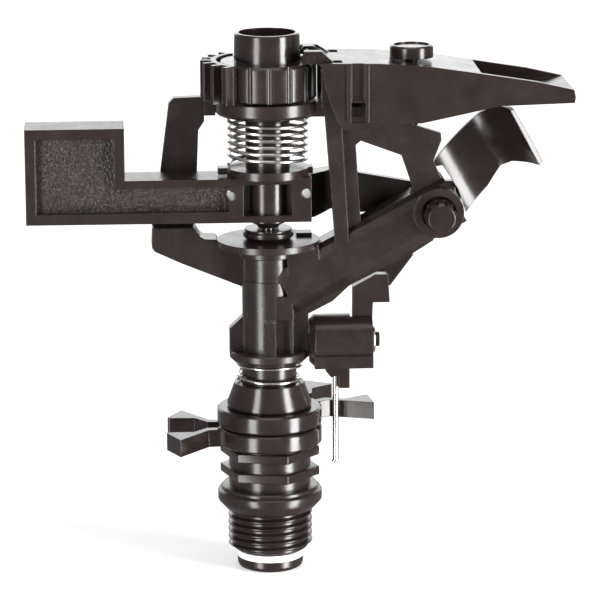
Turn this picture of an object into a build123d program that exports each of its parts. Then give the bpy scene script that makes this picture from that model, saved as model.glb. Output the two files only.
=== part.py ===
# Part-circle plastic impact sprinkler, built piece by piece in millimetres.
# Z is the turning axis and zero is the shoulder above the inlet thread.
# X points to the nozzle side and the front of the object faces minus Y.
import math
import os

from build123d import *

os.makedirs("parts", exist_ok=True)

# Clearances
joint_gap = 0.3
seat_gap = 0.02
pivot_gap = 0.1

# Inlet nipple
thread_radius = 10.48
thread_length = 10.3
lead_in = 1.0
flange_radius = 12.9
flange_height = 5.0
hex_corner_radius = 12.5
hex_height = 2.2
hex_low = 8.4
hex_high = 13.5
hex_turn = 17.7
neck_radius = 10.1
collar_hub_radius = 9.4
collar_floor = 16.1
nipple_top = 26.0

# Bearing stem and its seals
stem_radius = 6.7
stem_bore = 4.9
stem_flange_radius = 8.15
stem_flange_height = 2.8
seal_height = 0.4
white_washer_height = 1.6
white_washer_radius = 8.2

# Trip collars with their squeeze ears
collar_radius = 12.9
collar_height = 4.5
ear_height = 4.3
ear_neck_half = 2.7
ear_neck_width = 2.0
ear_neck_reach = 15.4
ear_heel_reach = 18.6
ear_heel_half = 6.5
ear_tip_reach = 25.7
ear_apex_reach = 21.9
ear_apex_half = 14.1
upper_ears_turn = 34.5
lower_ears_turn = 178.0

# Dust cone and bearing spring
cone_base_radius = 10.4
cone_top_radius = 8.55
cone_top = 31.9
bearing_coil_radius = 7.75
bearing_wire_radius = 0.38
bearing_turns = 1.6

# Body
base_low = 37.2
base_high = 40.2
base_radius = 9.7
column_radius = 6.4
column_bead = 57.8
socket_depth = 2.4
deck_radius = 12.5
deck_top = 67.8
deck_height = 1.6
barrel_angle = 28.0
barrel_half = 6.3
barrel_bore = 4.4
boss_x = 41.0
boss_z = 75.2
boss_radius = 6.1
boss_front = -9.2
barrel_nose = 5.0

# Hub stack over the deck
seat_radius = 6.2
seat_height = 2.2
hub_washer_height = 0.5
pin_radius = 1.5
pin_top = 112.6

# Impact arm
arm_bottom = 73.0
arm_top = 83.8
arm_half = 5.8
weight_left = -58.8
weight_right = -34.8
weight_top = 96.6
arm_hub_radius = 4.75
arm_sleeve_radius = 5.4
arm_sleeve_top = 91.0
bush_radius = 3.0
beam_front = 6.9
beam_back = 9.4

# Arm spring
spring_seat_radius = 10.0
spring_seat_height = 2.0
arm_coil_radius = 9.4
arm_wire_radius = 0.4
arm_coil_pitch = 1.72
arm_coil_turns = 6.5

# Top ring, knob and thumb grip
ring_low = 98.9
ring_high = 102.5
ring_radius = 12.9
knob_radius = 11.9
knob_height = 9.0
knob_lobes = 15
cup_radius = 7.9
cup_height = 6.9
cup_wall = 1.0
grip_radius = 16.2
grip_fins = 7
grip_spread = 96.0

# Range flap
flap_half = 11.5
flap_wall = 1.5
flap_hinge_x = 9.9
flap_hinge_z = 113.4
flap_pin_radius = 0.7
lug_inner = 6.6
lug_outer = 9.3
lug_low = 112.1
front_lug_top = 115.2
back_lug_top = 114.4
dial_x = 35.0
dial_radius = 5.3
dial_height = 3.0
dial_shank = 1.6
dial_pad_top = 95.2

# Trip gear
trip_z = 42.0
trip_radius = 6.5
trip_left = 9.9
trip_right = 25.3
shaft_radius = 2.3
wire_x = 16.4
wire_radius = 0.75
wire_low = 10.6
horn_front = 7.0
horn_back = 9.0


def plate_xz(points, y_low, y_high):
    plane = Plane(origin=(0, y_high, 0), x_dir=(1, 0, 0), z_dir=(0, -1, 0))
    face = make_face(Polyline(*points, close=True))
    return extrude(plane * face, y_high - y_low)


def plate_xy(points, z_low, z_high):
    face = make_face(Polyline(*points, close=True))
    return extrude(Plane.XY.offset(z_low) * face, z_high - z_low)


def turned(points):
    face = make_face(Polyline(*points, close=True))
    return revolve(Plane.XZ * face, Axis.Z)


def ring(z_low, z_high, outer, inner):
    return turned([(inner, z_low), (outer, z_low), (outer, z_high), (inner, z_high)])


def rod(start, end, radius):
    direction = Vector(*end) - Vector(*start)
    plane = Plane(origin=start, z_dir=direction)
    align = (Align.CENTER, Align.CENTER, Align.MIN)
    return plane * Cylinder(radius, direction.length, align=align)


def block(x_low, x_high, y_low, y_high, z_low, z_high):
    centre = ((x_low + x_high) / 2, (y_low + y_high) / 2, (z_low + z_high) / 2)
    return Pos(*centre) * Box(x_high - x_low, y_high - y_low, z_high - z_low)


def coil(radius, wire, pitch, turns, z_low):
    path = Helix(pitch=pitch, height=pitch * turns, radius=radius)
    section = Plane(origin=path @ 0, z_dir=path % 0) * Circle(wire)
    return Pos(0, 0, z_low) * sweep(section, path=path, is_frenet=True)


def save(shape, name):
    shape.label = name
    export_step(shape, f"parts/{name}.step")


# Point on the barrel's axis, at a distance along it from the boss and a rise across it
def barrel_point(along, across=0.0):
    turn = math.radians(barrel_angle)
    x = boss_x + along * math.cos(turn) - across * math.sin(turn)
    z = boss_z + along * math.sin(turn) + across * math.cos(turn)
    return (x, z)


def barrel_rod(start, end, radius):
    x_start, z_start = barrel_point(start)
    x_end, z_end = barrel_point(end)
    return rod((x_start, 0, z_start), (x_end, 0, z_end), radius)


# Inlet nipple
nipple_bore = stem_radius + joint_gap
nipple_foot = -thread_length
nipple = turned([
    (nipple_bore, nipple_foot),
    (thread_radius - lead_in, nipple_foot),
    (thread_radius, nipple_foot + lead_in),
    (thread_radius, 0.0),
    (flange_radius - 0.8, 0.0),
    (flange_radius, 0.8),
    (flange_radius, flange_height - 0.4),
    (flange_radius - 0.4, flange_height),
    (flange_radius - 0.9, flange_height),
    (flange_radius - 0.9, flange_height + 0.8),
    (neck_radius, flange_height + 0.8),
    (neck_radius, collar_floor - 0.3),
    (collar_hub_radius + 1.4, collar_floor - 0.3),
    (collar_hub_radius + 1.4, collar_floor),
    (collar_hub_radius, collar_floor),
    (collar_hub_radius, nipple_top),
    (nipple_bore, nipple_top),
])
for hex_z in (hex_low, hex_high):
    outline = Rot(0, 0, hex_turn) * RegularPolygon(hex_corner_radius, 6)
    nut = extrude(Plane.XY.offset(hex_z) * outline, hex_height)
    nipple += nut - ring(hex_z - 1, hex_z + hex_height + 1, neck_radius - 1, 0)
save(nipple, "inlet_nipple")

# Trip collars, one shape at two heights
collar_bore = collar_hub_radius + joint_gap
lower_collar_z = collar_floor + joint_gap
upper_collar_z = lower_collar_z + collar_height + joint_gap


def trip_collar(z_low, turn):
    z_high = z_low + collar_height
    edge = 0.5
    collar = turned([
        (collar_bore, z_low),
        (collar_radius - edge, z_low),
        (collar_radius, z_low + edge),
        (collar_radius, z_high - edge),
        (collar_radius - edge, z_high),
        (collar_bore, z_high),
    ])
    gap = ear_neck_half - 1.3
    collar -= block(collar_bore - 1, collar_radius + 1, -gap, gap, z_low - 1, z_high + 1)
    neck_foot = collar_radius - 1.2
    ear_low = z_low + (collar_height - ear_height) / 2
    for side in (-1, 1):
        outline = [
            (neck_foot, side * ear_neck_half),
            (ear_neck_reach, side * ear_neck_half),
            (ear_heel_reach, side * ear_heel_half),
            (ear_tip_reach, side * (ear_heel_half + 0.2)),
            (ear_apex_reach, side * ear_apex_half),
            (ear_neck_reach - 0.4, side * (ear_neck_half + ear_neck_width + 0.4)),
            (neck_foot, side * (ear_neck_half + ear_neck_width)),
        ]
        ear = plate_xy(outline, ear_low, ear_low + ear_height)
        corners = ear.edges().filter_by(Axis.Z).sort_by(Axis.X)
        ear = fillet(corners[-1], 0.6)
        collar += ear
    return Rot(0, 0, turn) * collar


save(trip_collar(lower_collar_z, lower_ears_turn), "lower_trip_collar")
save(trip_collar(upper_collar_z, upper_ears_turn), "upper_trip_collar")

# Dust cone that keeps the collars down
save(turned([
    (nipple_bore, nipple_top),
    (cone_base_radius, nipple_top),
    (cone_base_radius, nipple_top + 0.9),
    (cone_top_radius, cone_top),
    (nipple_bore, cone_top),
]), "dust_cone")

# Bearing stem, hanging below the nipple on two washers
seal_top = nipple_foot - joint_gap
washer_top = seal_top - seal_height
stem_flange_top = washer_top - white_washer_height
stem_foot = stem_flange_top - stem_flange_height
stem_top = base_low + socket_depth
stem = turned([
    (stem_bore, stem_foot),
    (stem_flange_radius - 1.1, stem_foot),
    (stem_flange_radius - 0.3, stem_foot + 0.4),
    (stem_flange_radius, stem_foot + 1.2),
    (stem_flange_radius, stem_flange_top),
    (stem_radius, stem_flange_top),
    (stem_radius, stem_top),
    (stem_bore, stem_top),
])
save(stem, "bearing_stem")
washer_bore = stem_radius + seat_gap
save(ring(stem_flange_top, washer_top, white_washer_radius, washer_bore), "white_washer")
save(ring(washer_top, seal_top, white_washer_radius - 0.5, washer_bore), "rubber_seal")

# Bearing spring between the cone and the body's foot
coil_low = cone_top + joint_gap + bearing_wire_radius
coil_high = base_low - bearing_wire_radius - seat_gap
bearing_pitch = (coil_high - coil_low) / bearing_turns
save(
    coil(bearing_coil_radius, bearing_wire_radius, bearing_pitch, bearing_turns, coil_low),
    "bearing_spring",
)

# Body: foot, water column, inclined barrel, keel, deck and screw boss
body = turned([
    (0.0, base_low),
    (base_radius - 1.2, base_low),
    (base_radius, base_low + 1.2),
    (base_radius, base_high - 0.4),
    (base_radius - 0.4, base_high),
    (column_radius + 0.1, base_high),
    (column_radius + 0.1, column_bead),
    (column_radius - 0.1, column_bead + 0.3),
    (column_radius - 0.1, deck_top - 4.2),
    (column_radius + 0.9, deck_top - 3.9),
    (column_radius + 0.9, deck_top - deck_height),
    (deck_radius, deck_top - deck_height),
    (deck_radius, deck_top),
    (0.0, deck_top),
])
# left rib, front rib and the flat panel that joins the column to the barrel
body += plate_xz([(-9.7, 39.4), (-9.7, 45.7), (-6.2, 49.0), (-5.0, 49.0), (-5.0, 39.4)], -1.6, 1.6)
body += plate_xz([(-1.6, 39.4), (-1.6, 47.6), (-0.2, 49.2), (1.3, 47.6), (1.3, 39.4)], -8.9, -5.0)
body += block(0.0, 5.6, -barrel_half, barrel_half, base_high - 1.0, 54.5)
body += plate_xz([
    (4.0, 38.6), (9.6, 38.6), (9.6, 49.4), (15.5, 52.4), (19.6, 56.2), (26.4, 59.7),
    (35.0, 63.9), (40.2, 67.2), (41.0, 70.0), (5.0, 56.0),
], -2.8, 2.8)

# barrel with rounded shoulders and a chamfered belly
barrel_start = -42.0
shoulder = 2.9
belly = 3.0
barrel_plane = Plane(
    origin=(barrel_point(barrel_start)[0], 0, barrel_point(barrel_start)[1]),
    x_dir=(0, 1, 0),
    z_dir=(math.cos(math.radians(barrel_angle)), 0, math.sin(math.radians(barrel_angle))),
)
section = make_face(Polyline(
    (-barrel_half, -barrel_half + belly),
    (-barrel_half + belly, -barrel_half),
    (barrel_half - belly, -barrel_half),
    (barrel_half, -barrel_half + belly),
    (barrel_half, barrel_half - shoulder),
    (barrel_half - 0.9, barrel_half - 0.9),
    (barrel_half - shoulder, barrel_half),
    (-barrel_half + shoulder, barrel_half),
    (-barrel_half + 0.9, barrel_half - 0.9),
    (-barrel_half, barrel_half - shoulder),
    close=True,
))
barrel = extrude(barrel_plane * section, barrel_nose - barrel_start)
body += barrel - block(-30, 0, -20, 20, 0, 100) - block(-30, 60, -20, 20, 0, 38.6)
body += rod((boss_x, boss_front, boss_z), (boss_x, 0, boss_z), boss_radius)
body += block(7.0, 10.8, 2.0, 6.0, deck_top - 2.5, deck_top + 0.8)
# gusset under the deck, between the column and the barrel
body += plate_xz([(4.4, 58.0), (4.4, 66.8), (12.0, 66.8), (12.0, 63.0)], -barrel_half, 0)
body_solid = body

# water way, stem socket and screw hole
barrel_bore_start = -(boss_x / math.cos(math.radians(barrel_angle)))
waterway_top = barrel_point(barrel_bore_start)[1]
body -= ring(base_low - 1, waterway_top, stem_bore, 0)
body -= barrel_rod(barrel_bore_start, barrel_nose + 1, barrel_bore)
body -= ring(base_low - 1, stem_top, stem_radius + seat_gap, 0)
screw_radius = 1.9
screw_head_radius = 3.8
body -= rod((boss_x, boss_front - 1, boss_z), (boss_x, 0, boss_z), screw_radius + joint_gap)
cup_floor = boss_front + 3.0
cup_bore = screw_head_radius + joint_gap + 0.1
body -= rod((boss_x, boss_front - 1, boss_z), (boss_x, cup_floor, boss_z), cup_bore)
# recess beside the front rib and the hole for the pin
body -= block(1.3, 4.8, -7.0, -5.2, base_high, 48.6)
pin_foot = 61.0
pin_hole = rod((0, 0, pin_foot), (0, 0, deck_top + 1), pin_radius + seat_gap)
body -= pin_hole
save(body, "body")

# Nozzle insert and stream straightener, both inside the barrel
nozzle_back = -9.0
nozzle_tip = -2.8
insert_radius = barrel_bore - seat_gap
nozzle = barrel_rod(nozzle_back, nozzle_tip, insert_radius)
nozzle -= barrel_rod(nozzle_back - 1, nozzle_tip + 1, 2.2)
save(nozzle, "nozzle_insert")
vane_plane = Plane(
    origin=(barrel_point(-21)[0], 0, barrel_point(-21)[1]),
    x_dir=(0, 1, 0),
    z_dir=barrel_plane.z_dir,
)
vane_length = 21.0 + nozzle_back
vane_section = Rectangle(2 * barrel_bore, 0.9) + Rectangle(0.9, 2 * barrel_bore)
vane = extrude(vane_plane * vane_section, vane_length)
save(vane & barrel_rod(-22, nozzle_back, insert_radius), "stream_straightener")

# Diffuser screw in the boss
screw_head_back = boss_front - 0.4
screw_head_front = -16.0
screw = rod((boss_x, screw_head_front, boss_z), (boss_x, screw_head_back, boss_z), screw_head_radius)
screw = chamfer(screw.edges().sort_by(Axis.Y)[0], 0.6)
for step in range(10):
    turn = math.radians(36 * step)
    groove_x = boss_x + screw_head_radius * math.cos(turn)
    groove_z = boss_z + screw_head_radius * math.sin(turn)
    groove_end = screw_head_back - 1.2
    screw -= rod((groove_x, screw_head_front - 1, groove_z), (groove_x, groove_end, groove_z), 0.45)
screw += rod((boss_x, screw_head_back, boss_z), (boss_x, -3.9, boss_z), screw_radius)
save(screw, "diffuser_screw")

# Left bracket: thick foot from the column, post behind the arm and arm to the top ring
bracket = plate_xz([
    (-28.2, 70.4), (-28.4, 65.6), (-27.7, 64.6), (-21.5, 61.7), (-6.0, 55.3),
    (-6.0, deck_top - deck_height), (-11.9, deck_top - deck_height), (-12.6, 67.4),
    (-15.4, 67.5), (-16.5, 68.1), (-18.0, 70.4),
], 1.5, 9.3)
bracket += plate_xz([
    (-28.2, 70.4), (-26.0, 83.3), (-23.7, 100.6), (-22.6, 101.8), (-16.0, 102.0),
    (-16.0, ring_high), (-7.5, ring_high), (-7.5, ring_low), (-15.2, ring_low),
    (-15.1, 96.0), (-16.6, 93.8), (-17.1, 82.3), (-18.0, 70.4), (-18.0, 66.0), (-28.0, 66.0),
], 6.3, 9.3)
bracket -= body_solid
bracket -= ring(ring_low - 1, ring_high + 1, ring_radius, 0)
save(bracket, "left_bracket")

# Front posts: slanting upright, nozzle post with the dial's pad, snap hook and front hinge lug
posts = plate_xz([
    (12.7, 110.0), (16.9, 110.0), (19.2, 70.0), (19.2, 66.0), (15.9, 64.0), (15.8, 70.0),
], -6.2, -3.9)
posts += plate_xz([
    (16.5, 106.0), (21.6, 104.6), (34.6, 96.3), (41.9, 94.0), (42.0, 92.2), (40.1, 87.2),
    (42.9, 81.0), (42.9, 78.0), (33.0, 74.0), (35.0, 80.5), (34.4, 82.6), (32.3, 88.7),
    (22.4, 92.4), (21.2, 91.4), (22.4, 72.2), (22.4, 68.0), (18.2, 68.0), (18.2, 72.0),
], -3.9, -1.6)
posts += block(dial_x - 1.8, dial_x + 1.8, -2.0, 1.8, dial_pad_top - 2.7, dial_pad_top)
posts += block(19.6, 22.2, -lug_outer - 0.3, -3.0, 99.4, 101.8)


def hinge_lug(top, y_low, y_high):
    outline = [
        (12.6, ring_high - 1.0), (16.2, ring_high - 1.0), (16.2, 110.0), (15.4, lug_low + 0.5),
        (12.6, top), (8.4, top), (7.9, lug_low), (12.6, lug_low),
    ]
    return plate_xz(outline, y_low, y_high)


hinge_hole_radius = flap_pin_radius + seat_gap
hinge_hole = rod((flap_hinge_x, -20, flap_hinge_z), (flap_hinge_x, 20, flap_hinge_z), hinge_hole_radius)
posts += hinge_lug(front_lug_top, -lug_outer, -lug_inner) - hinge_hole
posts += block(12.7, 16.2, -lug_outer, -6.2, ring_high - 1.0, 108.0)
posts -= body_solid
posts -= ring(ring_low - 1, ring_high + 1, ring_radius, 0)
save(posts, "front_posts")

# Top ring with its right-hand shelf and the back hinge lug
shelf_right = 16.2
knob_boss_radius = arm_sleeve_radius
top_ring = turned([
    (knob_boss_radius + joint_gap, ring_low),
    (ring_radius - 0.8, ring_low),
    (ring_radius, ring_low + 0.8),
    (ring_radius, ring_high),
    (knob_boss_radius + joint_gap, ring_high),
])
shelf = block(7.0, shelf_right, -6.2, lug_outer, ring_low, ring_high)
top_ring += shelf - ring(ring_low - 1, ring_high + 1, ring_radius - 2, 0)
top_ring += hinge_lug(back_lug_top, lug_inner, lug_outer) - hinge_hole
top_ring -= posts
save(top_ring, "top_ring")

# Thumb grip on the left of the ring
grip_inner = knob_radius + joint_gap + 0.2
grip_high = ring_high + knob_height + 0.6
grip = ring(ring_high, grip_high, grip_inner + 1.3, grip_inner)
half_spread = math.radians(grip_spread / 2 + 3)
reach = 40.0
wedge = plate_xy([
    (0, 0),
    (-reach * math.cos(half_spread), reach * math.sin(half_spread)),
    (-reach, 0),
    (-reach * math.cos(half_spread), -reach * math.sin(half_spread)),
], ring_high - 1, grip_high + 1)
grip = grip & wedge
grip_step = grip_spread / (grip_fins - 1)
for fin in range(grip_fins):
    turn = 180 - grip_spread / 2 + fin * grip_step
    blade = block(grip_inner + 0.6, grip_radius, -0.65, 0.65, ring_high + 0.2, grip_high)
    grip += Rot(0, 0, turn) * blade
grip_foot = block(-15.4, -grip_inner, -2.4, 2.4, ring_low, ring_high + 0.4)
grip_foot -= ring(ring_low - 1, ring_high + 1, ring_radius, 0)
grip += grip_foot - bracket
save(grip, "thumb_grip")

# Fulcrum pin, up through the arm's hub into the knob
pin = rod((0, 0, pin_foot), (0, 0, pin_top), pin_radius)
save(pin, "fulcrum_pin")

# Hub seat and washer under the arm
seat_bore = pin_radius + seat_gap
seat_top = deck_top + seat_height
save(turned([
    (seat_bore, deck_top),
    (seat_radius - 0.9, deck_top),
    (seat_radius, deck_top + 0.9),
    (seat_radius, seat_top - 0.3),
    (seat_radius - 0.3, seat_top),
    (seat_bore, seat_top),
]), "hub_seat")
washer_high = seat_top + hub_washer_height
save(ring(seat_top, washer_high, seat_radius - 0.4, seat_bore), "hub_washer")

# Arm: counterweight, bar and hub
arm = plate_xz([
    (weight_left, arm_bottom + 0.2), (weight_left, weight_top), (weight_right, weight_top),
    (weight_right, arm_top), (10.3, arm_top), (10.3, arm_bottom), (-10.0, arm_bottom),
], -arm_half, arm_half)
rim = 2.5
recess = plate_xz([
    (weight_left + rim, arm_bottom + 0.2 + rim), (weight_left + rim, weight_top - rim),
    (weight_right - rim, weight_top - rim), (weight_right - rim, arm_top - rim + 0.6),
    (-9.5, arm_top - rim + 0.6), (-9.5, arm_bottom + rim + 0.2),
], -arm_half - 1, -arm_half + 2.2)
arm -= recess
arm -= Pos(0, 2 * arm_half + 1 - 2.2 + 1, 0) * recess
window = block(-6.2, 5.6, -arm_half - 1, -1.5, arm_bottom + 1.6, arm_top - 1.5)
arm -= window - ring(arm_bottom, arm_top, arm_hub_radius, 0)
# slanting shank from the hub to the beam behind the barrel
shank_points = [
    (9.5, -1.0), (10.3, -1.0), (14.3, 3.2), (17.0, beam_front), (46.5, beam_front),
    (48.0, 7.6), (48.0, beam_back), (15.2, beam_back), (10.3, arm_half), (9.5, arm_half),
]
shank = plate_xy(shank_points, arm_bottom - 1.0, arm_top)
shank_side = plate_xz([
    (9.0, arm_bottom), (11.5, arm_bottom), (15.6, 74.0), (19.0, 72.6), (43.0, 72.6), (49.0, 72.0),
    (49.0, 80.0), (36.0, 80.0), (22.0, 82.6), (16.5, arm_top), (9.0, arm_top),
], -3, 12)
arm += shank & shank_side
arm += ring(arm_top - 1, arm_sleeve_top, arm_sleeve_radius, 0)
arm -= ring(arm_bottom - 1, arm_sleeve_top + 1, bush_radius + seat_gap, 0)
arm -= rod((9.1, -10, 80.0), (9.1, 10, 80.0), 1.2)
arm -= rod((-9.2, -10, 79.6), (-9.2, 10, 79.6), 1.1)
save(arm, "impact_arm")

# Drive spoon: a curved wall across the jet, cut to its side outline
jet = Vector(math.cos(math.radians(barrel_angle)), 0, math.sin(math.radians(barrel_angle)))
rise = Vector(-jet.Z, 0, jet.X)
spoon_origin = Vector(44.2, 0, 82.6)
spoon_plane = Plane(origin=spoon_origin - rise * 16, x_dir=jet, z_dir=rise)
spoon_wall = 1.6
# local y of this plane points to plus Y when its normal rises
side = 1 if spoon_plane.y_dir.Y > 0 else -1
inner_arc = ThreePointArc((-3.4, side * 2.9), (9.0, side * 8.3), (20.6, side * -4.6))
outer_arc = ThreePointArc(
    (-3.4, side * (2.9 + spoon_wall)),
    (9.2, side * (8.3 + spoon_wall)),
    (20.6 + spoon_wall * 0.8, side * (-4.6 + spoon_wall * 0.4)),
)
spoon_section = make_face([
    inner_arc,
    outer_arc,
    Line(inner_arc @ 0, outer_arc @ 0),
    Line(inner_arc @ 1, outer_arc @ 1),
])
spoon = extrude(spoon_plane * spoon_section, 34)
spoon_side = plate_xz([
    (41.0, 85.3), (41.4, 84.1), (43.3, 84.1), (47.2, 78.0), (49.2, 72.3), (54.9, 78.5), (57.8, 83.6), (60.5, 85.0),
    (65.6, 85.4), (66.9, 86.9), (59.6, 99.6), (56.0, 99.4), (52.4, 97.0),
], -12, 14)
spoon = spoon & spoon_side
spoon -= arm
save(spoon, "drive_spoon")

# Bush pressed into the arm's hub, with the cone seen under it
bush_low = washer_high + joint_gap
bush_bore = pin_radius + joint_gap
save(turned([
    (bush_bore, bush_low),
    (2.6, bush_low),
    (2.8, bush_low + 0.5),
    (4.9, arm_bottom - 0.6),
    (4.9, arm_bottom),
    (bush_radius, arm_bottom),
    (bush_radius, arm_sleeve_top),
    (bush_bore, arm_sleeve_top),
]), "arm_bush")

# Spring seat on the arm, with two stub lugs
spring_seat_top = arm_top + spring_seat_height
spring_seat = ring(arm_top, spring_seat_top, spring_seat_radius, arm_sleeve_radius + seat_gap)
spring_seat += block(-12.2, -9.2, -1.8, 1.8, arm_top + 0.4, spring_seat_top)
spring_seat += block(9.2, 10.9, -1.8, 1.8, arm_top + 0.4, spring_seat_top)
save(spring_seat, "spring_seat")

# Arm spring, wound between the seat and the ring
arm_coil_low = spring_seat_top + joint_gap + arm_wire_radius
save(
    coil(arm_coil_radius, arm_wire_radius, arm_coil_pitch, arm_coil_turns, arm_coil_low),
    "arm_spring",
)

# Tension knob: lobed ring, boss through the top ring and hollow cup
knob_low = ring_high + joint_gap
knob_high = knob_low + knob_height
knob_bore = pin_radius + joint_gap
boss_low = arm_sleeve_top + joint_gap
cup_top = knob_high + cup_height
knob = turned([
    (knob_bore, boss_low),
    (knob_boss_radius, boss_low),
    (knob_boss_radius, knob_low),
    (knob_radius - 0.4, knob_low),
    (knob_radius, knob_low + 0.4),
    (knob_radius, knob_high - 0.7),
    (knob_radius - 0.7, knob_high),
    (cup_radius + 0.2, knob_high),
    (cup_radius, cup_top - 0.3),
    (cup_radius - 0.3, cup_top),
    (cup_radius - cup_wall, cup_top),
    (cup_radius - cup_wall, cup_top - 5.0),
    (knob_bore, cup_top - 5.0),
])
groove_radius = 0.75
for lobe in range(knob_lobes):
    turn = math.radians(lobe * 360 / knob_lobes + 6)
    groove_x = (knob_radius + 0.15) * math.cos(turn)
    groove_y = (knob_radius + 0.15) * math.sin(turn)
    knob -= rod((groove_x, groove_y, knob_low - 1), (groove_x, groove_y, knob_high + 1), groove_radius)
save(knob, "tension_knob")

# Range flap: skirts, top plate, step, trough floor and hinge arms
plate_top = [(12.2, 112.6), (26.4, 112.4), (39.2, 111.4), (50.9, 109.6)]
skirt_outline = plate_top + [
    (64.5, 107.4), (73.2, 105.4), (73.6, 103.7), (73.4, 102.2), (55.1, 101.7), (48.7, 100.3),
    (36.5, 97.8), (32.9, 97.7), (18.2, 96.3), (16.7, 97.4), (14.9, 101.7), (13.3, 106.4),
]
flap = plate_xz(skirt_outline, -flap_half, -flap_half + flap_wall)
flap += plate_xz(skirt_outline, flap_half - flap_wall, flap_half)
under = [(x, z - 1.6) for x, z in reversed(plate_top)]
inner_half = flap_half - flap_wall + 0.2
flap += plate_xz([(12.4, 112.6)] + plate_top[1:] + under[:-1] + [(12.4, 111.0)], -inner_half, inner_half)
flap += plate_xz([(49.4, 109.8), (50.9, 109.6), (50.9, 100.7), (49.4, 100.4)], -inner_half, inner_half)
flap += plate_xz([
    (50.0, 100.6), (55.1, 101.7), (73.4, 102.2), (73.5, 103.7), (73.2, 105.4), (51.0, 102.6),
], -inner_half, inner_half)
arm_outline = [
    (8.6, 112.9), (9.3, 112.3), (14.6, 112.3), (14.6, 112.8), (11.4, 114.5), (9.2, 114.5), (8.6, 113.9),
]
for y_low, y_high in ((-lug_inner + joint_gap, -4.0), (4.0, lug_inner - joint_gap)):
    flap += plate_xz(arm_outline, y_low, y_high)
flap_bore = flap_pin_radius + pivot_gap
flap -= rod((flap_hinge_x, -8, flap_hinge_z), (flap_hinge_x, 8, flap_hinge_z), flap_bore)
for side_sign in (-1, 1):
    y_near = side_sign * (lug_inner - joint_gap)
    y_far = side_sign * (flap_half - flap_wall)
    flap -= block(11.0, 17.6, min(y_near, y_far), max(y_near, y_far), 109.0, 114.0)
# snap channel down the front skirt, with its window
flap -= block(19.7, 22.6, -flap_half - 1, -flap_half + 0.7, 103.6, 114.0)
flap -= block(19.0, 23.0, -flap_half - 1, -flap_half + flap_wall + 1, 98.2, 103.0)
flap += block(18.6, 19.5, -flap_half - 0.5, -flap_half + 0.2, 98.2, 112.2)
flap += block(22.9, 23.8, -flap_half - 0.5, -flap_half + 0.2, 98.2, 112.2)
dial_z = 111.9
flap -= rod((dial_x, 0, 105), (dial_x, 0, 120), dial_shank + joint_gap)
save(flap, "range_flap")

# Hinge pin of the flap, held in the two lugs
hinge_pin = rod((flap_hinge_x, -lug_outer, flap_hinge_z), (flap_hinge_x, lug_outer, flap_hinge_z), flap_pin_radius)
hinge_pin += rod(
    (flap_hinge_x, -lug_outer - 0.6, flap_hinge_z), (flap_hinge_x, -lug_outer, flap_hinge_z),
    flap_pin_radius + 0.5,
)
save(hinge_pin, "flap_hinge_pin")

# Dial screw in the flap, its foot just above the pad on the nozzle post
dial_low = dial_z + joint_gap
dial_high = dial_low + dial_height
dial = ring(dial_low, dial_high, dial_radius, 0)
dial = chamfer(dial.edges().sort_by(Axis.Z)[-1], 0.4)
dial -= ring(dial_high - 0.35, dial_high + 1, dial_radius - 1.0, 0)
dial = Pos(dial_x, 0, 0) * (dial + ring(dial_pad_top + joint_gap, dial_low, dial_shank, 0))
save(dial, "flap_dial")

# Trip housing: a barrel along X with slots for the lever's post and fork
housing = rod((trip_left, 0, trip_z), (trip_right, 0, trip_z), trip_radius)
housing = chamfer(housing.edges().sort_by(Axis.X)[0], 1.2)
housing += block(trip_left + 1.0, trip_right, -trip_radius, -trip_radius + 2.6, 36.2, 39.2)
housing += block(9.6, trip_left + 1.5, -2.6, 2.6, 39.0, 44.5)
housing -= rod((trip_left + 1.6, 0, trip_z), (trip_right + 1, 0, trip_z), shaft_radius + joint_gap)
housing -= block(19.9, trip_right + 1, -1.9, 4.4, trip_z, 50.0)
housing -= block(13.4, 20.4, -4.6, 1.9, 34.0, trip_z)
housing -= body
save(housing, "trip_housing")

# Trip lever: shaft, post, stop block, horn behind the barrel and wire fork
lever = rod((trip_left + 1.9, 0, trip_z), (trip_right + 0.4, 0, trip_z), shaft_radius)
lever += rod((trip_right, 0, trip_z), (27.2, 0, trip_z), 1.8)
lever += plate_xz([
    (20.5, 42.0), (25.0, 42.0), (25.4, 47.6), (25.6, 51.6), (29.7, 51.6), (29.3, 58.6),
    (26.3, 58.6), (20.6, 55.5),
], -1.5, 1.5)
lever += block(27.2, 29.2, 1.0, horn_back, 54.0, 56.6)
lever += plate_xz([
    (27.2, 54.0), (30.5, 53.8), (36.2, 61.4), (36.0, 66.0), (33.4, 69.5), (31.6, 69.5),
    (31.0, 62.0), (27.2, 57.4),
], horn_front, horn_back)
lever += plate_xz([
    (14.2, 42.0), (14.2, 36.6), (13.9, 34.4), (15.2, 32.8), (17.2, 33.4), (17.2, 30.0),
    (19.8, 30.0), (19.8, 42.0),
], -1.5, 1.5)
wire_hole = rod((wire_x, 0, wire_low), (wire_x, 0, 39.0), wire_radius + seat_gap)
lever -= wire_hole
save(lever, "trip_lever")

# Trip wire hanging beside the collars
wire = rod((wire_x, 0, wire_low + 0.8), (wire_x, 0, 39.0), wire_radius)
wire += rod((wire_x, 0, wire_low + 0.8), (wire_x - 0.5, 0, wire_low), wire_radius - 0.05)
save(wire, "trip_wire")

# Snap spring on the trip shaft's end
snap = Pos(trip_right + 0.45, 0, trip_z) * Rot(0, 90, 0) * Torus(2.9, 0.4)
save(snap, "trip_spring")
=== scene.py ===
import math

import bmesh
import bpy
from mathutils import Matrix, Vector


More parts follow.
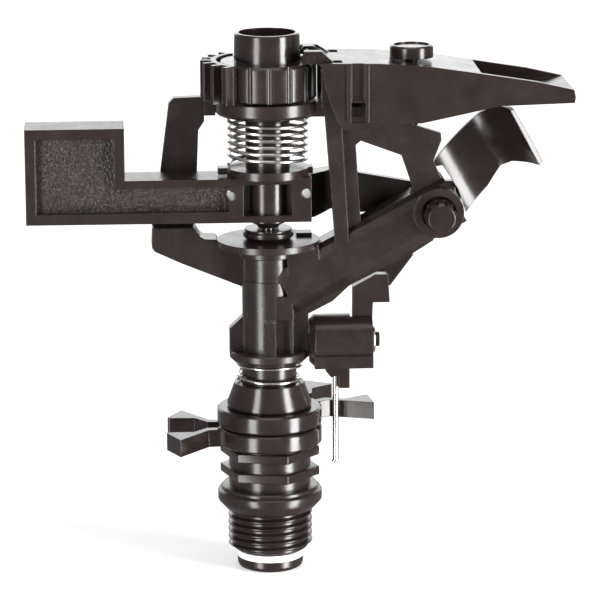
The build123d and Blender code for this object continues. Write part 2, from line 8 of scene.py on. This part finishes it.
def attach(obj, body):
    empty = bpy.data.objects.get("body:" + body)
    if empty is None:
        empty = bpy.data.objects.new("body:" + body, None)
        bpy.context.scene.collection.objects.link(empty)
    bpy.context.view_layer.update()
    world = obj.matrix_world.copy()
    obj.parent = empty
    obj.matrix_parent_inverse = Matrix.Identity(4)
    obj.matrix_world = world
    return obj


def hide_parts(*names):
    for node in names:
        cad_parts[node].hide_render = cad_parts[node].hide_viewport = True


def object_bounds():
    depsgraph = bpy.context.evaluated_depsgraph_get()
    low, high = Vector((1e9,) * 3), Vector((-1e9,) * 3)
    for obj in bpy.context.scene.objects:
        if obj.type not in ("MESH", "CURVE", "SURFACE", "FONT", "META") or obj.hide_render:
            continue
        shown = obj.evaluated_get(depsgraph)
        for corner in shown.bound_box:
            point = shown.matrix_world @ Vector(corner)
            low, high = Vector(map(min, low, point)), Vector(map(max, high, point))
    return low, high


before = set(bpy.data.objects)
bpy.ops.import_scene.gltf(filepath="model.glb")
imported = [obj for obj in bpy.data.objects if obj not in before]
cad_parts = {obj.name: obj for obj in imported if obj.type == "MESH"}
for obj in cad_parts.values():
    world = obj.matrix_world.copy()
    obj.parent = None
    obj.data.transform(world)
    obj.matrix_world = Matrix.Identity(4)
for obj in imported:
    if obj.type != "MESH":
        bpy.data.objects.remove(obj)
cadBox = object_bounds()
mm = 0.001
print("frame loaded")


# sRGB hex to the linear colour that a shader socket takes
def hexColour(code):
    channels = [int(code[i:i + 2], 16) / 255 for i in (1, 3, 5)]
    linear = [c / 12.92 if c <= 0.04045 else ((c + 0.055) / 1.055) ** 2.4 for c in channels]
    return (*linear, 1.0)


# Adds one node: settings go on its properties or sockets, links come from other nodes' outputs
def addNode(tree, kind, settings=None, links=None):
    node = tree.nodes.new(kind)
    for key, value in (settings or {}).items():
        if isinstance(key, str) and hasattr(node, key):
            setattr(node, key, value)
        else:
            node.inputs[key].default_value = value
    for key, (source, output) in (links or {}).items():
        tree.links.new(source.outputs[output], node.inputs[key])
    return node


def newMaterial(name):
    material = bpy.data.materials.new(name)
    material.use_nodes = True
    material.node_tree.nodes.clear()
    return material


# Noise that runs through the piece, with spots about sizeMm wide
def addNoise(tree, where, sizeMm, detail, roughness=0.5):
    return addNode(tree, "ShaderNodeTexNoise", {
        "Scale": 1 / (sizeMm * mm), "Detail": detail, "Roughness": roughness,
    }, {"Vector": (where, "Object")})


# Colour from the look's dark tone to its light one, over the band of the noise that it names
def addTones(tree, noise, look):
    ramp = addNode(tree, "ShaderNodeValToRGB", links={"Fac": (noise, "Fac")})
    ends = ramp.color_ramp.elements
    for end, position, tone in zip(ends, look["toneBand"], ("dark", "light")):
        end.position = position
        end.color = hexColour(look[tone])
    return ramp


# Roughness that follows the noise, around the look's own value
def addGloss(tree, noise, look):
    fromLow, fromHigh = look["glossBand"]
    smoother, rougher = look["roughSpread"]
    return addNode(tree, "ShaderNodeMapRange", {
        "From Min": fromLow, "From Max": fromHigh,
        "To Min": look["rough"] - smoother, "To Max": look["rough"] + rougher,
    }, {"Value": (noise, "Fac")})


# 1 where a coordinate is at its limit or below, fading to 0 over fadeMm beyond it
def addLimit(tree, source, output, limitMm, fadeMm):
    return addNode(tree, "ShaderNodeMapRange", {
        "From Min": (limitMm + fadeMm) * mm, "From Max": limitMm * mm,
        "To Min": 0.0, "To Max": 1.0,
    }, {"Value": (source, output)})


# Spark-eroded texture, kept to the recessed faces left of the arm's hub
sparkTexture = {
    "strength": 1.0, "grainMm": 0.6, "detail": 2.0, "roughness": 0.7, "reliefMm": 0.25,
    "depthMm": 4.2, "depthFadeMm": 0.1, "endMm": -6.5, "endFadeMm": 1.0,
}


def addSparkTexture(tree, where, under):
    grains = addNoise(tree, where, sparkTexture["grainMm"], sparkTexture["detail"],
                      sparkTexture["roughness"])
    place = addNode(tree, "ShaderNodeSeparateXYZ", links={"Vector": (where, "Object")})
    depth = addNode(tree, "ShaderNodeMath", {"operation": "ABSOLUTE"}, {0: (place, "Y")})
    inset = addLimit(tree, depth, 0, sparkTexture["depthMm"], sparkTexture["depthFadeMm"])
    side = addLimit(tree, place, "X", sparkTexture["endMm"], sparkTexture["endFadeMm"])
    mask = addNode(tree, "ShaderNodeMath", {"operation": "MULTIPLY"}, {
        0: (inset, "Result"), 1: (side, "Result"),
    })
    height = addNode(tree, "ShaderNodeMath", {"operation": "MULTIPLY"}, {
        0: (grains, "Fac"), 1: (mask, 0),
    })
    return addNode(tree, "ShaderNodeBump", {
        "Strength": sparkTexture["strength"], "Distance": sparkTexture["reliefMm"] * mm,
    }, {"Height": (height, 0), "Normal": (under, "Normal")})


# Moulded plastic: satin skin with faint flow mottling, and rounded mould edges
def mouldedPlastic(name, look, sparkTextured=False):
    material = newMaterial(name)
    tree = material.node_tree
    where = addNode(tree, "ShaderNodeTexCoord")
    mottling = addNoise(tree, where, look["mottleMm"], look["mottleDetail"],
                        look["mottleRoughness"])
    colour = addTones(tree, mottling, look)
    gloss = addGloss(tree, mottling, look)
    skin = addNoise(tree, where, look["skinMm"], look["skinDetail"])
    edge = addNode(tree, "ShaderNodeBevel", {
        "samples": look["edgeSamples"], "Radius": look["edgeMm"] * mm,
    })
    bump = addNode(tree, "ShaderNodeBump", {
        "Strength": look["skinDepth"], "Distance": look["skinReliefMm"] * mm,
    }, {"Height": (skin, "Fac"), "Normal": (edge, "Normal")})
    if sparkTextured:
        bump = addSparkTexture(tree, where, bump)
    shader = addNode(tree, "ShaderNodeBsdfPrincipled", {
        "IOR": look["ior"],
    }, {
        "Base Color": (colour, "Color"), "Roughness": (gloss, "Result"),
        "Normal": (bump, "Normal"),
    })
    addNode(tree, "ShaderNodeOutputMaterial", links={"Surface": (shader, "BSDF")})
    return material


plasticLook = {
    "dark": "#1b1412", "light": "#211a18", "toneBand": (0.35, 0.7),
    "rough": 0.22, "roughSpread": (0.03, 0.05), "glossBand": (0.3, 0.7), "ior": 1.5,
    "mottleMm": 6.0, "mottleDetail": 3.0, "mottleRoughness": 0.6,
    "skinMm": 1.1, "skinDetail": 2.0, "skinDepth": 0.2, "skinReliefMm": 0.05,
    "edgeMm": 0.35, "edgeSamples": 4,
}
# acetal straight from a polished mould: dark warm black with a satin gloss
satinAcetal = mouldedPlastic("satinAcetal", plasticLook)
# the knob, spoon and collars come from a brighter mould
mouldedPlastic("glossAcetal", {**plasticLook, "rough": 0.17, "skinDepth": 0.15})
# the arm's recesses are spark-eroded; real grains of 0.2 mm are drawn at 0.6 mm
mouldedPlastic("texturedArm", plasticLook, sparkTextured=True)
# body and brackets: a little duller, with the sheen of a glass-filled moulding
mouldedPlastic("bodyAcetal", {**plasticLook, "rough": 0.26, "skinDepth": 0.3})


# Drawn stainless spring wire: bright, with fine lines left by the die
def drawnWire(name, look):
    material = newMaterial(name)
    tree = material.node_tree
    where = addNode(tree, "ShaderNodeTexCoord")
    lines = addNoise(tree, where, look["lineMm"], look["lineDetail"])
    gloss = addGloss(tree, lines, look)
    tint = addTones(tree, lines, look)
    shader = addNode(tree, "ShaderNodeBsdfPrincipled", {"Metallic": 1.0}, {
        "Base Color": (tint, "Color"), "Roughness": (gloss, "Result"),
    })
    addNode(tree, "ShaderNodeOutputMaterial", links={"Surface": (shader, "BSDF")})
    return material


stainlessWire = drawnWire("stainlessSpringWire", {
    "dark": "#b9b2ad", "light": "#dcd8d3", "toneBand": (0.0, 1.0),
    "rough": 0.2, "roughSpread": (0.05, 0.1), "glossBand": (0.0, 1.0),
    "lineMm": 0.5, "lineDetail": 2.0,
})

mouldedPlastic("whiteNylon", {
    **plasticLook, "dark": "#e4e2dd", "light": "#f0eee9", "rough": 0.4, "edgeMm": 0.15,
})
mouldedPlastic("nitrileRubber", {
    **plasticLook, "dark": "#171616", "light": "#201f1f", "rough": 0.65, "edgeMm": 0.1,
})
print("materials made")


def paint(node, material):
    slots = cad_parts[node].material_slots
    for slot in slots:
        slot.link = "DATA"
        slot.material = material


finishes = {
    "satinAcetal": [
        "inlet_nipple", "bearing_stem", "hub_seat", "hub_washer", "arm_bush", "spring_seat",
        "top_ring", "thumb_grip", "range_flap", "flap_hinge_pin", "nozzle_insert",
        "stream_straightener", "trip_lever",
    ],
    "glossAcetal": [
        "dust_cone", "lower_trip_collar", "upper_trip_collar", "tension_knob", "drive_spoon",
        "flap_dial", "diffuser_screw",
    ],
    "texturedArm": ["impact_arm"],
    "bodyAcetal": ["body", "left_bracket", "front_posts", "trip_housing"],
    "stainlessSpringWire": [
        "bearing_spring", "arm_spring", "fulcrum_pin", "trip_wire", "trip_spring",
    ],
    "whiteNylon": ["white_washer"],
    "nitrileRubber": ["rubber_seal"],
}
for finish, nodes in finishes.items():
    for node in nodes:
        paint(node, bpy.data.materials[finish])

# edges that turn by more than this stay sharp in the shading
sharpDegrees = 35


def finishPiece(bm, name, body, material, replaced):
    mesh = bpy.data.meshes.new(name)
    bm.normal_update()
    bm.to_mesh(mesh)
    bm.free()
    mesh.materials.append(material)
    piece = bpy.data.objects.new(name, mesh)
    bpy.context.scene.collection.objects.link(piece)
    mesh.shade_smooth()
    mesh.set_sharp_from_angle(angle=math.radians(sharpDegrees))
    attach(piece, body)
    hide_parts(*replaced)


# The edges of a closed outline in the XZ half plane, ready to be spun
def section(bm, points):
    verts = [bm.verts.new((x * mm, 0, z * mm)) for x, z in points]
    return [bm.edges.new((verts[i - 1], verts[i])) for i in range(len(verts))]


# Spins edges about the Z axis, rising by riseMm in all
def spin(bm, edges, turns, steps, riseMm=0.0):
    return bmesh.ops.spin(
        bm, geom=edges, cent=(0, 0, 0), axis=(0, 0, 1), angle=2 * math.pi * turns,
        dvec=(0, 0, riseMm * mm / steps), steps=steps, use_merge=riseMm == 0.0,
    )


# Turned nipple in mm, heights from the shoulder above the thread. The outline goes up the
# bevelled flange and its step, the waist under the hexagons, the lip and the neck.
nipple = {
    "bore": 7.0, "foot": -10.3, "footBevel": 0.35, "outer": 9.42, "steps": 96,
    "outline": [
        (11.0, 0.0), (12.7, 1.9), (12.9, 2.2), (12.9, 4.3), (12.6, 4.7), (12.0, 4.9),
        (12.0, 5.5), (11.7, 5.8), (10.1, 5.8), (10.1, 15.4), (10.4, 15.8), (10.8, 15.8),
        (10.8, 16.1), (9.4, 16.1), (9.4, 26.0),
    ],
}
hexagon = {
    "lows": (8.4, 13.5), "height": 2.2, "radius": 12.5, "turnDegrees": 17.7,
    "bevel": 0.25, "bevelSegments": 2,
}
# The thread's rib starts inside the nipple's wall, and its crest tapers off near the foot
thread = {
    "crest": 10.46, "sunk": 0.3, "pitch": 1.814, "turns": 6, "halfCrest": 0.14, "halfRoot": 0.72,
    "taperFrom": 8.0, "fullDepth": 9.2,
}


def addHexagon(bm, low):
    ring = bmesh.ops.create_circle(bm, segments=6, radius=hexagon["radius"] * mm, cap_ends=True)
    turn = Matrix.Rotation(math.radians(hexagon["turnDegrees"]), 4, "Z")
    lift = Matrix.Translation((0, 0, low * mm))
    bmesh.ops.transform(bm, matrix=lift @ turn, verts=ring["verts"])
    face = ring["verts"][0].link_faces[0]
    raised = bmesh.ops.extrude_face_region(bm, geom=[face])
    tops = [g for g in raised["geom"] if isinstance(g, bmesh.types.BMVert)]
    bmesh.ops.translate(bm, verts=tops, vec=(0, 0, hexagon["height"] * mm))
    hexFaces = {f for v in tops + ring["verts"] for f in v.link_faces}
    rims = {e for f in hexFaces for e in f.edges}
    bmesh.ops.bevel(bm, geom=list(rims), offset=hexagon["bevel"] * mm,
                    segments=hexagon["bevelSegments"], profile=0.5, affect="EDGES", material=-1)


def addThread(bm):
    inner, foot = nipple["outer"] - thread["sunk"], nipple["foot"]
    rib = section(bm, [
        (inner, foot - thread["halfRoot"]), (thread["crest"], foot - thread["halfCrest"]),
        (thread["crest"], foot + thread["halfCrest"]), (inner, foot + thread["halfRoot"]),
    ])
    turns = thread["turns"]
    spin(bm, rib, turns, nipple["steps"] * turns, thread["pitch"] * turns)


# The thread starts on a lead-in and never hangs below the nipple's foot
def cutLeadIn(bm):
    for vert in bm.verts:
        depth = -vert.co.z / mm
        reach = math.hypot(vert.co.x, vert.co.y) / mm
        limit = thread["crest"] - max(0.0, depth - thread["fullDepth"])
        if depth > thread["taperFrom"] and reach > limit:
            vert.co.x *= limit / reach
            vert.co.y *= limit / reach
        vert.co.z = max(vert.co.z, nipple["foot"] * mm)


# Threaded inlet: turned nipple, two hexagons and a helical pipe thread
def makeInlet():
    bm = bmesh.new()
    bore, foot, bevel, outer = (nipple[k] for k in ("bore", "foot", "footBevel", "outer"))
    top = nipple["outline"][-1][1]
    wall = section(bm, [
        (bore, foot), (outer - bevel, foot), (outer, foot + bevel), (outer, 0.0),
        *nipple["outline"], (bore, top),
    ])
    spin(bm, wall, 1, nipple["steps"])
    for low in hexagon["lows"]:
        addHexagon(bm, low)
    addThread(bm)
    cutLeadIn(bm)
    bmesh.ops.recalc_face_normals(bm, faces=bm.faces)
    finishPiece(bm, "threadedInlet", "inlet", satinAcetal, ("inlet_nipple",))


makeInlet()
print("inlet made")

# faces round a spring's wire, and steps in each of its turns
wireSides = 10
stepsPerTurn = 56


# A coil wound by spinning a round section in stages: (turns, rise in mm) for each stage
def windCoil(name, coil, body, replaced):
    bm = bmesh.new()
    ring = bmesh.ops.create_circle(bm, segments=wireSides, radius=coil["wireMm"] * mm,
                                   cap_ends=False)
    stand = Matrix.Rotation(math.radians(90), 4, "X")
    place = Matrix.Translation((coil["radiusMm"] * mm, 0, coil["startMm"] * mm))
    start = Matrix.Rotation(math.radians(coil["startTurn"]), 4, "Z")
    bmesh.ops.transform(bm, matrix=start @ place @ stand, verts=ring["verts"])
    bmesh.ops.contextual_create(bm, geom=ring["verts"])
    edges = list(bm.edges)
    for turns, riseMm in coil["stages"]:
        wound = spin(bm, edges, turns, int(turns * stepsPerTurn), riseMm)
        edges = [g for g in wound["geom_last"] if isinstance(g, bmesh.types.BMEdge)]
    bmesh.ops.contextual_create(bm, geom=list({v for e in edges for v in e.verts}))
    bmesh.ops.recalc_face_normals(bm, faces=bm.faces)
    finishPiece(bm, name, body, stainlessWire, replaced)


# stages run from the top coil down, anticlockwise, so the winding is left-handed
armSpring = {
    "radiusMm": 9.5, "wireMm": 0.45, "startMm": 97.55, "startTurn": 0.0,
    "stages": [(0.5, -0.25), (5.2, -8.6), (0.8, -2.3)],
}
bearingSpring = {
    "radiusMm": 7.75, "wireMm": 0.38, "startMm": 36.7, "startTurn": 10.0,
    "stages": [(0.8, -0.1), (0.9, -3.6), (0.8, -0.1)],
}
windCoil("armReturnSpring", armSpring, "rotor", ("arm_spring",))
windCoil("bearingSpring", bearingSpring, "rotor", ("bearing_spring",))
print("springs wound")

# target and distance in mm, angles in degrees, lens and sensor in mm of a 35 mm camera
view = {
    "target": (7.7, 0.0, 52.2), "distance": 835.0, "azimuth": -3.5, "elevation": 13.2,
    "roll": -0.27, "lens": 204.0, "sensor": 36.0, "clipEnd": 20.0,
}


# Camera at the photograph's viewing angle
def makeCamera():
    az, el, roll = (math.radians(view[k]) for k in ("azimuth", "elevation", "roll"))
    ahead = Vector((-math.sin(az) * math.cos(el), math.cos(az) * math.cos(el), -math.sin(el)))
    level = Vector((math.cos(az), math.sin(az), 0))
    above = level.cross(ahead)
    right = level * math.cos(roll) + above * math.sin(roll)
    up = above * math.cos(roll) - level * math.sin(roll)
    data = bpy.data.cameras.new("camera")
    data.sensor_width = view["sensor"]
    data.lens = view["lens"]
    data.clip_end = view["clipEnd"]
    camera = bpy.data.objects.new("camera", data)
    bpy.context.scene.collection.objects.link(camera)
    turn = Matrix((right, up, -ahead)).transposed().to_4x4()
    spot = (Vector(view["target"]) - ahead * view["distance"]) * mm
    camera.matrix_world = Matrix.Translation(spot) @ turn
    bpy.context.scene.camera = camera


# Softboxes face this point on the turning axis, from distance metres away. Azimuth 0 is the
# viewer's side, positive to the viewer's right; size is in metres.
softboxAim = Vector((0, 0, 55.0)) * mm
softboxes = {
    "leftBox": {
        "azimuth": -40, "elevation": -4, "distance": 0.9, "size": (0.26, 1.3), "radiance": 12.0,
    },
    "rightBox": {
        "azimuth": 54, "elevation": -4, "distance": 0.9, "size": (0.3, 1.3), "radiance": 22.0,
    },
    "backBox": {
        "azimuth": 180, "elevation": 16, "distance": 1.1, "size": (1.6, 0.6), "radiance": 1.9,
    },
    "topBox": {
        "azimuth": -10, "elevation": 80, "distance": 0.9, "size": (0.6, 0.6), "radiance": 1.5,
    },
}


def makeSoftbox(name, box):
    az, el = math.radians(box["azimuth"]), math.radians(box["elevation"])
    away = Vector((math.sin(az) * math.cos(el), -math.cos(az) * math.cos(el), math.sin(el)))
    data = bpy.data.lights.new(name, "AREA")
    data.shape = "RECTANGLE"
    data.size, data.size_y = box["size"]
    data.energy = box["radiance"] * math.pi * data.size * data.size_y
    lamp = bpy.data.objects.new(name, data)
    bpy.context.scene.collection.objects.link(lamp)
    lamp.location = softboxAim + away * box["distance"]
    lamp.rotation_euler = away.to_track_quat("Z", "Y").to_euler()
    lamp.visible_camera = False


# White surroundings: dim for what they light, full for the camera
surround = {"colour": "#ffffff", "lit": 0.3, "seen": 1.0}


def makeWorld():
    world = bpy.data.worlds.new("paleStudio")
    bpy.context.scene.world = world
    world.use_nodes = True
    tree = world.node_tree
    tree.nodes.clear()
    white = hexColour(surround["colour"])
    rays = addNode(tree, "ShaderNodeLightPath")
    lit = addNode(tree, "ShaderNodeBackground", {"Color": white, "Strength": surround["lit"]})
    seen = addNode(tree, "ShaderNodeBackground", {"Color": white, "Strength": surround["seen"]})
    mix = addNode(tree, "ShaderNodeMixShader", links={
        "Fac": (rays, "Is Camera Ray"), 1: (lit, 0), 2: (seen, 0),
    })
    addNode(tree, "ShaderNodeOutputWorld", links={"Surface": (mix, 0)})


# Pale sheet under the object, with a glow of its own that only the camera sees
sheet = {"colour": "#f4f4f4", "glowColour": "#ffffff", "glow": 0.35, "halfMetres": 3.0, "cells": 2}


def makeFloor():
    bm = bmesh.new()
    bmesh.ops.create_grid(bm, x_segments=sheet["cells"], y_segments=sheet["cells"],
                          size=sheet["halfMetres"])
    bmesh.ops.translate(bm, verts=bm.verts, vec=(0, 0, cadBox[0].z))
    mesh = bpy.data.meshes.new("paleFloor")
    bm.to_mesh(mesh)
    bm.free()
    material = newMaterial("paleFloor")
    tree = material.node_tree
    rays = addNode(tree, "ShaderNodeLightPath")
    matte = addNode(tree, "ShaderNodeBsdfDiffuse", {"Color": hexColour(sheet["colour"])})
    glow = addNode(tree, "ShaderNodeEmission", {
        "Color": hexColour(sheet["glowColour"]), "Strength": sheet["glow"],
    })
    both = addNode(tree, "ShaderNodeAddShader", links={0: (matte, 0), 1: (glow, 0)})
    mix = addNode(tree, "ShaderNodeMixShader", links={
        "Fac": (rays, "Is Camera Ray"), 1: (matte, 0), 2: (both, 0),
    })
    addNode(tree, "ShaderNodeOutputMaterial", links={"Surface": (mix, 0)})
    mesh.materials.append(material)
    floor = bpy.data.objects.new("paleFloor", mesh)
    bpy.context.scene.collection.objects.link(floor)
    # glossy sides see the softboxes through the floor, which still takes the object's shadow
    floor.visible_glossy = False
    floor.visible_shadow = False


makeCamera()
for name, box in softboxes.items():
    makeSoftbox(name, box)
makeWorld()
makeFloor()
bpy.context.scene.view_settings.view_transform = "Standard"
print("studio set")
